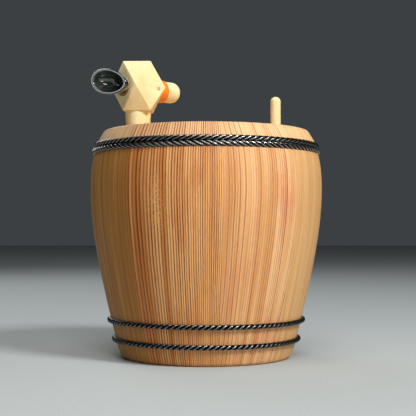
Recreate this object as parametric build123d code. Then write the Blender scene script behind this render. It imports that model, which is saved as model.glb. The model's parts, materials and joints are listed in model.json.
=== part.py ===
from build123d import *
import math
import os

# A tabletop keg of glued softwood staves, standing on its bottom end, with wire hoops,
# a faceted wooden tap in its head and a vent peg opposite the tap.
# Millimetres. +Z is up, the origin is the centre of the bottom end, and the front is -Y.

# Cask outline: the outside radius at each height, and how the curve leaves each end
barrel_height = 86.0
foot_radius = 32.8
belly_radius = 44.35
belly_height = 64.0
shoulder_radius = 42.1
chime_height = 5.0
rim_radius = 39.2
foot_flare_deg = 14.0
foot_pull = 25.0
belly_pull_down = 18.0
belly_pull_up = 8.5
shoulder_lean_deg = 13.0
shoulder_pull = 6.0
foot_round = 2.0
rim_round = 0.8

# Staves, counted from the joint at the front left, anticlockwise from above
first_joint_deg = -128.5
stave_widths_deg = [46.0, 39.0, 47.0, 44.0, 46.0, 45.0, 47.0, 46.0]
stave_wall = 6.0

# Heads and the croze grooves that hold them
head_thickness = 6.0
head_inset = 5.0
head_tongue = 2.4
croze_depth = 2.0
croze_clearance = 0.1

# Hoops: one flat braid at the shoulder and two twisted wires at the foot
braid_height = 4.1
braid_thickness = 2.2
braid_bite = 1.05
braid_round = 0.7
braid_below_shoulder = 1.9
wire_diameter = 1.95
wire_bite = 0.35
wire_heights = {"upper_wire_hoop": 14.3, "lower_wire_hoop": 7.1}
sleeve_wall = 0.5
sleeve_length = 6.0
sleeve_side_deg = 90.0

# Tap: a tapered neck, a faceted body and a plug that crosses it
tap_side_deg = 196.6
tap_inset = 9.1
tap_turn_deg = 43.0
body_width = 14.6
body_height = 18.45
body_above_rim = 7.05
neck_top_radius = 4.9
neck_taper = 0.071
neck_inside_length = 4.0
neck_bore_radius = 1.5
neck_clearance = 0.05
tenon_radius = 3.0
tenon_length = 4.0

plug_drop = 0.5
plug_radius = 2.95
plug_clearance = 0.05
plug_inner_end = -2.9
plug_end_gap = 0.1
cork_wall = 0.8
port_radius = 1.2
port_depth = 1.2
shank_radius = 2.0
shank_length = 9.6
pin_radius = 0.75
pin_place = 4.05
pin_drop = 0.33
pin_tip_gap = 0.3
pin_clearance = 0.1
groove_depth = 1.0
open_turn_deg = 90.0
groove_spare_deg = 6.0

collar_radius = 4.3
collar_length = 4.6
collar_gap = 0.1
knob_radius = 4.0
knob_length = 7.5
knob_round = 3.4

# Spout: an oval glass cup on a short stem, set in a seal
cup_half_width = 8.85
cup_half_height = 4.7
cup_depth = 6.3
cup_wall = 0.9
cup_reach = 6.8
cup_rise = 1.3
cup_swing_deg = 12.0
cup_roll_deg = 11.0
stem_radius = 2.5
stem_end_gap = 0.3
seal_wall = 1.0
seal_seat_wall = 1.3
outlet_radius = 1.5

# Vent peg: a dowel with a rounded top and a slightly tapered lower end
peg_side_deg = 15.7
peg_inset = 7.55
peg_radius = 2.0
peg_tip_radius = 1.7
peg_above_rim = 14.8
peg_inside_length = 2.5
peg_round = 1.8
peg_clearance = 0.05

# Heights that follow from the sizes above
shoulder_height = barrel_height - chime_height
braid_level = shoulder_height - braid_below_shoulder
body_bottom = barrel_height + body_above_rim
tap_middle = body_bottom + body_height / 2
plug_level = tap_middle - plug_drop


def point(radius, height):
    """A point of an upright section, in the XZ plane."""
    return Vector(radius, 0, height)


def outline(inset):
    """The two curves of the cask wall, moved in by inset: foot to belly, then belly to shoulder."""
    flare = math.radians(foot_flare_deg)
    lean = math.radians(shoulder_lean_deg)
    foot = point(foot_radius - inset, 0)
    belly = point(belly_radius - inset, belly_height)
    shoulder = point(shoulder_radius - inset, shoulder_height)
    lower = Bezier(
        foot,
        foot + point(math.sin(flare), math.cos(flare)) * foot_pull,
        belly - point(0, belly_pull_down),
        belly,
    )
    upper = Bezier(
        belly,
        belly + point(0, belly_pull_up),
        shoulder + point(math.sin(lean), -math.cos(lean)) * shoulder_pull,
        shoulder,
    )
    return lower, upper


def wall_radius(height):
    """The outside radius of the cask at a height, up to the shoulder."""
    lower, upper = outline(0)
    curve = lower if height < belly_height else upper
    low, high = 0.0, 1.0
    for _ in range(40):
        middle = (low + high) / 2
        if (curve @ middle).Z < height:
            low = middle
        else:
            high = middle
    return (curve @ low).X


def lean_at(height):
    """How far the wall leans from upright at a height, in degrees, outwards to the top positive."""
    step = 0.5
    return math.degrees(math.atan2(wall_radius(height + step) - wall_radius(height - step), 2 * step))


def inner_radius(height):
    """The inside radius of the staves at a height. Above the shoulder the wall keeps its lean."""
    if height <= shoulder_height:
        return wall_radius(height) - stave_wall
    above = height - shoulder_height
    return shoulder_radius - stave_wall - above * math.tan(math.radians(shoulder_lean_deg))


def head_levels(at_top):
    """The lower and upper face of a head."""
    if at_top:
        return barrel_height - head_inset - head_thickness, barrel_height - head_inset
    return head_inset, head_inset + head_thickness


def head_radius(at_top):
    """The radius of a head inside the staves: where they are narrowest along its edge."""
    return min(inner_radius(level) for level in head_levels(at_top)) - croze_clearance


def ring(section, start_deg=0.0, arc_deg=360.0):
    """Turn a section about the cask's axis, from one angle and through an arc."""
    return Rot(0, 0, start_deg) * revolve(section, Axis.Z, revolution_arc=arc_deg)


def box_section(radius_in, radius_out, low, high):
    """A plain upright rectangle in the XZ plane."""
    corners = [(radius_in, low), (radius_out, low), (radius_out, high), (radius_in, high)]
    return make_face(Polyline(*[point(*corner) for corner in corners], close=True))


def stave_section():
    """The section of a stave: curved faces, bevelled chime and the two croze grooves."""
    lower, upper = outline(0)
    inner_lower, inner_upper = outline(stave_wall)
    rim_inner = point(inner_radius(barrel_height), barrel_height)
    rim_outer = point(rim_radius, barrel_height)
    closed = [
        lower,
        upper,
        Line(upper @ 1, rim_outer),
        Line(rim_outer, rim_inner),
        Line(rim_inner, inner_upper @ 1),
        inner_upper,
        inner_lower,
        Line(inner_lower @ 0, lower @ 0),
    ]
    section = make_face(closed)
    foot_corner = section.vertices().sort_by_distance(lower @ 0)[0]
    section = fillet(foot_corner, foot_round)
    rim_corner = section.vertices().sort_by_distance(rim_outer)[0]
    section = fillet(rim_corner, rim_round)
    for at_top in (False, True):
        low, high = head_levels(at_top)
        middle = (low + high) / 2
        reach = head_radius(at_top) + croze_depth + croze_clearance
        half = head_tongue / 2 + croze_clearance
        section -= box_section(head_radius(at_top) - stave_wall, reach, middle - half, middle + half)
    return section


def place_on_head(side_deg, inset):
    """A place on the top head at an angle about the axis, inset from the head's edge."""
    radius = head_radius(True) - inset
    return Pos(radius * math.cos(math.radians(side_deg)), radius * math.sin(math.radians(side_deg)), 0)


def head(at_top):
    """A head: a disc with a thinner tongue round its edge."""
    low, high = head_levels(at_top)
    middle = (low + high) / 2
    body_edge = head_radius(at_top)
    half = head_tongue / 2
    disc = ring(box_section(0, body_edge, low, high))
    tongue = ring(box_section(0, body_edge + croze_depth, middle - half, middle + half))
    return disc + tongue


def braid_section(grow=0.0):
    """The flat braid's section, leaning with the wall. Grow adds the same on every side."""
    wall = wall_radius(braid_level)
    lean = lean_at(braid_level)
    flat = RectangleRounded(
        braid_thickness + 2 * grow, braid_height + 2 * grow, braid_round + grow
    )
    centre = Location((wall + braid_thickness / 2 - braid_bite, 0, braid_level), (90, 0, -lean))
    return centre * flat


def wire_section(height, grow=0.0):
    """The section of a twisted wire hoop as one round, biting slightly into the wall."""
    radius = wall_radius(height) + wire_diameter / 2 - wire_bite
    return Location((radius, 0, height), (90, 0, 0)) * Circle(wire_diameter / 2 + grow)


def sleeve(outer, inner, height):
    """A crimped sleeve that closes a hoop: a short arc of a hollow section."""
    arc_deg = math.degrees(sleeve_length / wall_radius(height))
    return ring(outer - inner, sleeve_side_deg - arc_deg / 2, arc_deg)


def hoops():
    """The three hoops by name."""
    parts = {"braided_hoop": ring(braid_section())}
    for name, height in wire_heights.items():
        parts[name] = ring(wire_section(height))
    return parts


def sleeves():
    """The sleeves: one on the braid, and one on each wire hoop as a pair."""
    braid_sleeve = sleeve(braid_section(sleeve_wall), braid_section(), braid_level)
    pair = [
        sleeve(wire_section(height, sleeve_wall), wire_section(height), height)
        for height in wire_heights.values()
    ]
    return {"braid_clasp": braid_sleeve, "wire_sleeves": Compound(children=pair)}


def staves(cutters):
    """All the staves, with seats cut for the hoops and their sleeves."""
    section = stave_section()
    parts = {}
    start = first_joint_deg
    for number, width in enumerate(stave_widths_deg, start=1):
        solid = ring(section, start, width)
        for cutter in cutters:
            solid -= cutter
        parts[f"stave_{number}"] = solid
        start += width
    return parts


def turned(profile):
    """A solid turned about local Z from a half outline of (radius, height) points."""
    return revolve(make_face(Polyline(*[point(*p) for p in profile], close=True)), Axis.Z)


head_under, head_face = head_levels(True)
tap_place = place_on_head(tap_side_deg, tap_inset) * Rot(0, 0, tap_turn_deg)
peg_place = place_on_head(peg_side_deg, peg_inset)
half_width = body_width / 2
neck_tip_height = head_under - neck_inside_length
liner_inner = plug_radius + plug_clearance
liner_outer = liner_inner + cork_wall
liner_end = plug_inner_end - plug_end_gap
seal_seat = liner_end - seal_seat_wall
stem_inner_end = seal_seat - stem_end_gap
pin_height = plug_level - pin_drop
groove_floor_radius = plug_radius - groove_depth
pin_tip_radius = groove_floor_radius + pin_tip_gap


def neck_radius(height):
    """The radius of the tap's tapered neck at a height."""
    return neck_top_radius - (body_bottom - height) * neck_taper


def neck_cone(grow=0.0):
    """The tapered outside of the neck up to the tap body. Grow widens it."""
    return turned([
        (0, neck_tip_height),
        (neck_radius(neck_tip_height) + grow, neck_tip_height),
        (neck_top_radius + grow, body_bottom),
        (0, body_bottom),
    ])


def upright(radius, low, high):
    """A cylinder on local Z between two heights."""
    return Pos(0, 0, (low + high) / 2) * Cylinder(radius, high - low)


def along(radius, start, end, height=0.0):
    """A cylinder along local X, from start to end, at a height."""
    return Pos((start + end) / 2, 0, height) * Rot(0, 90, 0) * Cylinder(radius, end - start)


def across(radius, start, end, x, height):
    """A cylinder along local Y, from start to end."""
    return Pos(x, (start + end) / 2, height) * Rot(90, 0, 0) * Cylinder(radius, end - start)


def tap_neck():
    """The tapered neck with a tenon on top and a bore all the way through."""
    tenon_top = body_bottom + tenon_length
    solid = neck_cone() + upright(tenon_radius, body_bottom, tenon_top)
    return solid - upright(neck_bore_radius, neck_tip_height, tenon_top)


def tap_body():
    """A tall box with every corner cut off to the middles of its edges, bored for neck, plug and spout."""
    block = Pos(0, 0, tap_middle) * Box(body_width, body_width, body_height)
    half_height = body_height / 2
    for x_side in (-1, 1):
        for y_side in (-1, 1):
            for z_side in (-1, 1):
                edge_middle = (x_side * half_width, 0, tap_middle + z_side * half_height)
                normal = (x_side / half_width, y_side / half_width, z_side / half_height)
                block = block.split(Plane(origin=edge_middle, z_dir=normal), keep=Keep.BOTTOM)
    block -= upright(tenon_radius, body_bottom, body_bottom + tenon_length)
    block -= upright(neck_bore_radius, body_bottom, plug_level)
    block -= along(liner_outer, liner_end, half_width, plug_level)
    block -= along(outlet_radius, seal_seat, liner_end, plug_level)
    block -= along(stem_radius + seal_wall, -half_width, seal_seat, plug_level)
    block -= across(pin_radius, -half_width, 0, pin_place, pin_height)
    return block


def plug_liner():
    """The cork tube that the plug turns in, with an inlet hole and a hole for the pin."""
    tube = along(liner_outer, liner_end, half_width, plug_level)
    tube -= along(liner_inner, liner_end, half_width, plug_level)
    tube -= upright(neck_bore_radius, plug_level - half_width, plug_level)
    return tube - across(pin_radius, -half_width, 0, pin_place, pin_height)


def retaining_groove():
    """The part-turn groove that the pin runs in, whose two ends stop the plug shut and open."""
    pin_angle = math.degrees(math.asin(pin_drop / pin_tip_radius))
    half_pin = math.degrees(math.asin((pin_radius + pin_clearance) / pin_tip_radius))
    spare = half_pin + groove_spare_deg
    width = 2 * (pin_radius + pin_clearance)
    section = Pos(pin_place, 0, 0) * make_face(Polyline(
        (-width / 2, groove_floor_radius, 0),
        (width / 2, groove_floor_radius, 0),
        (width / 2, 2 * plug_radius, 0),
        (-width / 2, 2 * plug_radius, 0),
        close=True,
    ))
    groove = revolve(section, Axis.X, revolution_arc=open_turn_deg + 2 * spare)
    # Angles about local X start at +Y; the pin comes in from -Y and a little below.
    start = 180 + pin_angle - open_turn_deg - spare
    return Pos(0, 0, plug_level) * Rot(start, 0, 0) * groove


def tap_plug():
    """The plug: a bored barrel in the body and a shank out to the knob. At rest its port is shut."""
    shank_end = half_width + collar_gap + shank_length
    solid = along(plug_radius, plug_inner_end, half_width, plug_level)
    solid += along(shank_radius, half_width, shank_end, plug_level)
    solid -= along(port_radius, plug_inner_end, port_depth, plug_level)
    solid -= across(port_radius, -half_width, 0, 0, plug_level)
    return solid - retaining_groove()


def tap_pin():
    """The dowel pin, flush with the front right face, whose tip runs in the plug's groove."""
    return across(pin_radius, -half_width, -pin_tip_radius, pin_place, pin_height)


def knob_parts():
    """The rubber collar and the round-ended knob on the shank."""
    collar_start = half_width + collar_gap
    collar_end = collar_start + collar_length
    shank_end = collar_start + shank_length
    bore = along(shank_radius, collar_start, shank_end, plug_level)
    collar = along(collar_radius, collar_start, collar_end, plug_level) - bore
    knob = along(knob_radius, collar_end, collar_end + knob_length, plug_level)
    knob = fillet(knob.edges().sort_by(Axis.X)[-1], knob_round) - bore
    return {"tap_collar": collar, "tap_knob": knob}


def ellipsoid(half_width_y, half_height_z, depth_x):
    """A solid ellipsoid on the origin."""
    return scale(Sphere(1), by=(depth_x, half_width_y, half_height_z))


def glass_spout():
    """The oval cup on its stem. Its mouth faces away from the body and swings towards the front."""
    outer = ellipsoid(cup_half_width, cup_half_height, cup_depth)
    inner = ellipsoid(cup_half_width - cup_wall, cup_half_height - cup_wall, cup_depth - cup_wall)
    behind_mouth = Pos(cup_depth, 0, 0) * Box(2 * cup_depth, 4 * cup_half_width, 4 * cup_half_height)
    place = Pos(-half_width - cup_reach, 0, plug_level + cup_rise) * Rot(0, 0, cup_swing_deg)
    place *= Rot(cup_roll_deg, 0, 0)
    stem = along(stem_radius, -half_width - cup_reach, stem_inner_end, plug_level)
    shell = (place * (outer & behind_mouth)) + (stem - place * (outer - behind_mouth))
    bore = along(port_radius, -half_width - cup_reach, stem_inner_end, plug_level)
    return shell - place * inner - bore


def spout_seal():
    """The ring between the stem and the body."""
    ring_outer = along(stem_radius + seal_wall, -half_width, seal_seat, plug_level)
    return ring_outer - along(stem_radius, -half_width, seal_seat, plug_level)


def peg_profile(grow=0.0):
    """The peg's outline below the head's face, for the peg and for its hole."""
    tip = head_under - peg_inside_length
    return [
        (0, tip),
        (peg_tip_radius + grow, tip),
        (peg_radius + grow, head_face),
        (0, head_face),
    ]


def vent_peg():
    """The vent peg, standing in its hole."""
    dowel = upright(peg_radius, head_face, barrel_height + peg_above_rim)
    dowel = fillet(dowel.edges().sort_by(Axis.Z)[-1], peg_round)
    return peg_place * (dowel + turned(peg_profile()))


def main():
    os.makedirs("parts", exist_ok=True)
    hoop_parts = hoops()
    sleeve_parts = sleeves()
    seats = list(hoop_parts.values()) + list(sleeve_parts.values())
    parts = staves(seats)
    parts.update(hoop_parts)
    parts.update(sleeve_parts)
    tap_hole = tap_place * neck_cone(neck_clearance)
    peg_hole = peg_place * turned(peg_profile(peg_clearance))
    parts["top_head"] = head(True) - tap_hole - peg_hole
    parts["bottom_head"] = head(False)
    tap = {
        "tap_neck": tap_neck(),
        "tap_body": tap_body(),
        "plug_liner": plug_liner(),
        "tap_plug": tap_plug(),
        "tap_pin": tap_pin(),
        "glass_spout": glass_spout(),
        "spout_seal": spout_seal(),
    }
    tap.update(knob_parts())
    for name, solid in tap.items():
        parts[name] = tap_place * solid
    parts["vent_peg"] = vent_peg()
    for name, solid in parts.items():
        export_step(solid, f"parts/{name}.step")


main()
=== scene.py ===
"""Looks for a small wooden keg: turned fir staves, blackened wire hoops, a faceted tap and a vent peg.

Lengths are millimetres up to the moment a piece is placed, and metres from there on. The keg
stands on the floor, +Z is up and its front is -Y.
"""

import json
import logging
import math
from dataclasses import dataclass, field
from enum import Enum
from typing import Any, Optional, Union

import bpy
from bpy.types import Material, Node, NodeSocket, NodeTree, Object
from mathutils import Matrix, Vector


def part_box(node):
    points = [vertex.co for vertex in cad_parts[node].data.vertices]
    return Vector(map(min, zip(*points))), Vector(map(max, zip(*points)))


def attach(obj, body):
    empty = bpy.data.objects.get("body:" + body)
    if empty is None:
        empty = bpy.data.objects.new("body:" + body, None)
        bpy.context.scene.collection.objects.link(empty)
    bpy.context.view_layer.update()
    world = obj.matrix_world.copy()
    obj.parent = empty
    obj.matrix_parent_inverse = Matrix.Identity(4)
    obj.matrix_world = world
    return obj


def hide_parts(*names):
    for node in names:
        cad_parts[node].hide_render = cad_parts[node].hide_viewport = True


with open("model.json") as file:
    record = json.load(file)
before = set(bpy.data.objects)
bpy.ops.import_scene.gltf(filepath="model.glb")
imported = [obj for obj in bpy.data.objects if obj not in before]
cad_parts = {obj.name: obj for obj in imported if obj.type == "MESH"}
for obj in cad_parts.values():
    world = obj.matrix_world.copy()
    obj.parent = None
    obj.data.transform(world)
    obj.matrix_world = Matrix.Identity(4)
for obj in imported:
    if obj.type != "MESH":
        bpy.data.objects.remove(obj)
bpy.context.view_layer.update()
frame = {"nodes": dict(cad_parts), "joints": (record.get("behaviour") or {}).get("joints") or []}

log = logging.getLogger("keg")
MM = 0.001
Outline = list[tuple[float, float]]
Source = Union[Node, NodeSocket]
MERGE_MM = 0.001


# ---------------------------------------------------------------- small tools


class Slot(Enum):
    """The record's finishes of the pieces that are modelled again."""

    HEARTWOOD = "fir_heartwood"
    SAPWOOD = "fir_sapwood"
    WIRE = "blackened_wire"
    BASSWOOD = "basswood"
    SILICONE = "orange_silicone"
    GLASS = "smoked_glass"


class Body(Enum):
    """The bodies of the frame that pieces ride on."""

    CASK = "cask"
    TAP = "tap"
    PLUG = "plug"
    PEG = "peg"


def linear(hex_colour: str) -> tuple[float, float, float, float]:
    """Turn an sRGB hex colour into linear RGBA.

    Args:
        hex_colour: six hex digits, with or without a leading hash.

    Returns:
        Red, green, blue and an alpha of one.
    """
    digits = hex_colour.lstrip("#")
    channels = []
    for start in (0, 2, 4):
        value = int(digits[start:start + 2], 16) / 255
        channels.append(value / 12.92 if value <= 0.04045 else ((value + 0.055) / 1.055) ** 2.4)
    return (channels[0], channels[1], channels[2], 1.0)


def feed(node: Node, inputs: Any) -> None:
    """Link or set a node's inputs.

    Args:
        node: the node.
        inputs: a dict of socket names or numbers, or a list in the sockets' order. Each is a value,
            a socket to link from, or a node, which stands for its first output in use.
    """
    for key, value in inputs.items() if isinstance(inputs, dict) else enumerate(inputs):
        if isinstance(value, Node):
            value = next(output for output in value.outputs if output.enabled)
        if isinstance(value, NodeSocket):
            node.id_data.links.new(value, node.inputs[key])
        else:
            node.inputs[key].default_value = value


def add_node(tree: NodeTree, kind: str, inputs: Any = (), **settings: Any) -> Node:
    """Add one shader node with its settings and links.

    Args:
        tree: the material's node tree.
        kind: the node's type without its first words, such as "Math".
        inputs: what feed takes.
        settings: properties to set on the node.

    Returns:
        The new node.
    """
    node = tree.nodes.new("ShaderNode" + kind)
    for name, value in settings.items():
        setattr(node, name, value)
    feed(node, inputs)
    return node


def set_ramp(node: Node, *stops: tuple[float, float]) -> None:
    """Give a colour ramp its stops.

    Args:
        node: the colour ramp node.
        stops: pairs of a position and a grey level, from low to high.
    """
    elements = node.color_ramp.elements
    while len(elements) < len(stops):
        elements.new(0.5)
    for element, (position, grey) in zip(elements, stops):
        element.position = position
        element.color = (grey, grey, grey, 1.0)


@dataclass(frozen=True)
class Finish:
    """A material, whose kinds say what feeds their Principled shader."""

    name: str

    def build(self) -> Material:
        """Make the material.

        Returns:
            The material, with its shader fed and joined to the output.
        """
        material = bpy.data.materials.new(self.name)
        material.use_nodes = True
        tree = material.node_tree
        tree.nodes.clear()
        shader = add_node(tree, "BsdfPrincipled")
        add_node(tree, "OutputMaterial", {"Surface": shader})
        feed(shader, self.look(tree))
        return material


def millimetres(tree: NodeTree, turn_deg: float = 0.0) -> Node:
    """The object's own coordinates in millimetres.

    Args:
        tree: the material's node tree.
        turn_deg: how far the pattern is turned about the upright axis.

    Returns:
        The node to link patterns to.
    """
    place = add_node(tree, "TexCoord")
    return add_node(tree, "Mapping", {
        "Vector": place.outputs["Object"], "Rotation": (0.0, 0.0, math.radians(turn_deg)),
        "Scale": (1 / MM, 1 / MM, 1 / MM)})


def out_from_axis(tree: NodeTree, axes: Node) -> Node:
    """How far a point is from the upright axis.

    Args:
        tree: the material's node tree.
        axes: the point's three coordinates.

    Returns:
        The node that gives the distance.
    """
    flat = add_node(tree, "CombineXYZ", [axes.outputs["X"], axes.outputs["Y"]])
    return add_node(tree, "VectorMath", [flat], operation="LENGTH")


def deselect() -> None:
    """Leave edit mode and deselect everything."""
    if bpy.context.object and bpy.context.object.mode != "OBJECT":
        bpy.ops.object.mode_set(mode="OBJECT")
    bpy.ops.object.select_all(action="DESELECT")


def pick(piece: Object) -> None:
    """Make a piece the one that operators act on."""
    deselect()
    piece.select_set(True)
    bpy.context.view_layer.objects.active = piece


def apply_modifiers(piece: Object) -> None:
    """Apply every modifier on a piece, in order."""
    pick(piece)
    for modifier in list(piece.modifiers):
        bpy.ops.object.modifier_apply(modifier=modifier.name)


def join(pieces: list[Object], name: str) -> Object:
    """Join mesh objects into the first of them and name it.

    Args:
        pieces: the objects.
        name: what the joined piece is called.

    Returns:
        The joined piece.
    """
    deselect()
    for piece in pieces:
        piece.select_set(True)
    bpy.context.view_layer.objects.active = pieces[0]
    bpy.ops.object.join()
    pieces[0].name = name
    return pieces[0]


def tidy_mesh(piece: Object) -> None:
    """Merge doubles, drop loose bits and turn all faces outwards.

    Args:
        piece: the mesh object.
    """
    pick(piece)
    bpy.ops.object.mode_set(mode="EDIT")
    bpy.ops.mesh.select_all(action="SELECT")
    bpy.ops.mesh.remove_doubles(threshold=MERGE_MM * MM)
    bpy.ops.mesh.dissolve_degenerate(threshold=1e-8)
    bpy.ops.mesh.delete_loose()
    bpy.ops.mesh.select_all(action="SELECT")
    bpy.ops.mesh.normals_make_consistent(inside=False)
    bpy.ops.object.mode_set(mode="OBJECT")


def outline_ring(name: str, outline: Outline, start_deg: float = 0.0, filled: bool = False) -> Object:
    """Lay a closed outline in an upright plane through the Z axis.

    Args:
        name: the new object's name.
        outline: (radius, height) points in millimetres.
        start_deg: the plane's angle about Z.
        filled: whether the outline is one face.

    Returns:
        The outline as a mesh object.
    """
    deselect()
    fill = "NGON" if filled else "NOTHING"
    bpy.ops.mesh.primitive_circle_add(vertices=len(outline), radius=MM, fill_type=fill)
    piece = bpy.context.object
    piece.name = name
    angle = math.radians(start_deg)
    for vertex, (radius, height) in zip(piece.data.vertices, outline):
        vertex.co = (radius * MM * math.cos(angle), radius * MM * math.sin(angle), height * MM)
    return piece


def corner(radius: float, end: float, round_mm: float, start_deg: float = 0.0, count: int = 10) -> Outline:
    """An outside corner rounded by a quarter turn.

    Args:
        radius: the radius that the corner reaches.
        end: the height that the corner reaches.
        round_mm: the arc's radius.
        start_deg: 0 for a corner at the top, -90 for one at the bottom.
        count: how many steps it has.

    Returns:
        Points from below to above.
    """
    middle = Vector((radius - round_mm, end - round_mm if start_deg == 0 else end + round_mm))
    angles = [math.radians(start_deg + 90 * step / count) for step in range(count + 1)]
    return [tuple(middle + round_mm * Vector((math.cos(angle), math.sin(angle)))) for angle in angles]


def spin(piece: Object, turn_deg: float, steps: int) -> None:
    """Spin a piece's whole mesh anticlockwise about the Z axis, then tidy it.

    Args:
        piece: an outline, as a ring or a face.
        turn_deg: how far it turns.
        steps: how many steps it turns in.
    """
    pick(piece)
    bpy.ops.object.mode_set(mode="EDIT")
    bpy.ops.mesh.select_all(action="SELECT")
    bpy.ops.mesh.spin(steps=steps, angle=-math.radians(turn_deg), center=(0, 0, 0), axis=(0, 0, 1))
    bpy.ops.object.mode_set(mode="OBJECT")
    tidy_mesh(piece)


def bevel(piece: Object, width_mm: float, segments: int, angle_deg: float) -> None:
    """Round a piece's edges where its faces meet at more than an angle.

    Args:
        piece: the mesh object.
        width_mm: the bevel's width.
        segments: how many faces round the bevel.
        angle_deg: the least angle that is bevelled.
    """
    modifier = piece.modifiers.new("edges", "BEVEL")
    modifier.width = width_mm * MM
    modifier.segments = segments
    modifier.limit_method = "ANGLE"
    modifier.angle_limit = math.radians(angle_deg)
    apply_modifiers(piece)


def shade(piece: Object, angle_deg: float = 35.0) -> None:
    """Shade a piece smooth, apart from its sharp edges."""
    pick(piece)
    bpy.ops.object.shade_smooth_by_angle(angle=math.radians(angle_deg))


def seat(piece: Object, place: Matrix) -> None:
    """Move a piece to its place and keep the place in its mesh."""
    pick(piece)
    piece.matrix_world = place
    bpy.ops.object.transform_apply(location=True, rotation=True, scale=True)


def dress(piece: Object, material: Material) -> None:
    """Give a piece one material all over."""
    piece.data.materials.clear()
    piece.data.materials.append(material)


def turn(name: str, outline: Outline, steps: int, place: Matrix, material: Material) -> Object:
    """Turn an outline all the way round, dress it and move it to its place.

    Args:
        name: the new piece's name.
        outline: the section, as (radius, height) points in millimetres.
        steps: how many steps it turns in.
        place: where the turned piece goes.
        material: its material.

    Returns:
        The piece.
    """
    piece = outline_ring(name, outline)
    spin(piece, 360, steps)
    shade(piece)
    seat(piece, place)
    dress(piece, material)
    return piece


def hand_over(piece: Object, body: Body, slot: Slot, *nodes: str) -> None:
    """Let a finished piece ride on its body and stand for its CAD nodes.

    Args:
        piece: the finished piece.
        body: the body it rides on.
        slot: the record's finish it stands for; not used.
        nodes: the CAD nodes it replaces.
    """
    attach(piece, body.value)
    if nodes:
        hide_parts(*nodes)
    log.info("%s rides on %s: %d faces", piece.name, body.value, len(piece.data.polygons))


def dress_node(node: str, material: Material) -> None:
    """Give a CAD node that stays as it is a better material."""
    dress(frame["nodes"][node], material)
    log.info("%s keeps its CAD shape", node)


# ---------------------------------------------------------------- finishes


class GrainRun(Enum):
    """How growth rings lie on a piece of wood."""

    AROUND = "side by side round the keg"
    ACROSS = "side by side across a flat board"


@dataclass(frozen=True)
class Board:
    """Where a point lies across a board's rings and along its grain, in millimetres."""

    tree: NodeTree
    across: Source
    along: Source
    seed: float

    def noise(self, width_mm: float, length_mm: float, offset: float, detail: float = 2.0,
              roughness: float = 0.5) -> Node:
        """Noise whose spots have a width across the grain and a length along it.

        Args:
            width_mm: how wide the spots are.
            length_mm: how long the spots are.
            offset: keeps patterns of one board apart.
            detail: how many finer layers there are.
            roughness: how strong the finer layers are.

        Returns:
            The node that gives a value from 0 to 1.
        """
        spot = add_node(self.tree, "CombineXYZ", [self.across, self.along, self.seed + offset])
        scaled = add_node(self.tree, "Mapping", {
            "Vector": spot, "Scale": (1 / width_mm, 1 / length_mm, 1.0)})
        return add_node(self.tree, "TexNoise", {
            "Vector": scaled, "Scale": 1.0, "Detail": detail, "Roughness": roughness})


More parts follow.
